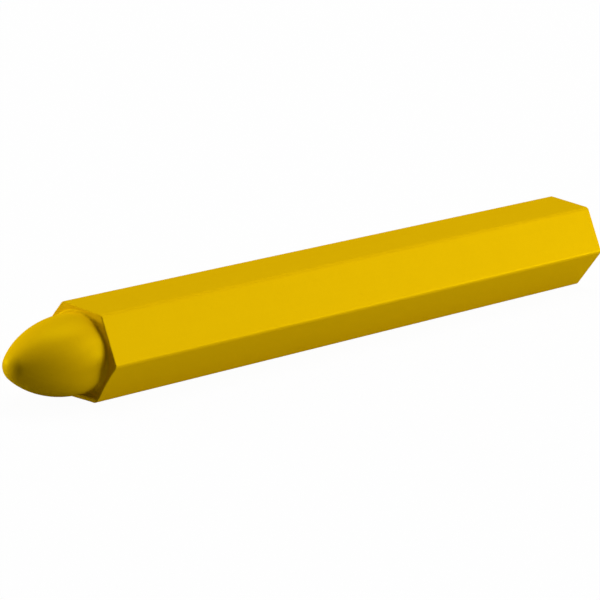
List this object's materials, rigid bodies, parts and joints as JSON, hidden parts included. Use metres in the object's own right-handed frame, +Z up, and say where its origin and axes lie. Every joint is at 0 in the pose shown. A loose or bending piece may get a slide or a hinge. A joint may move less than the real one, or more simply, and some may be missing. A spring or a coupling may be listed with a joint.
{
  "type": "chalk stick",
  "caption": "Hexagonal marking chalk stick, moulded in one piece, with a bullet-shaped writing nose on a flat shoulder.",
  "frame": {"origin": "middle of the stick's bounding box, on the surface that it lies on", "axes": "+X along the stick towards its rear end, so the nose points to -X; +Z up, away from the flat it lies on"},
  "size_m": [0.12, 0.0136, 0.012],
  "materials": {
    "chalk": "satin"
  },
  "bodies": {
    "root": {"chalk_stick": "chalk"}
  },
  "joints": []
}
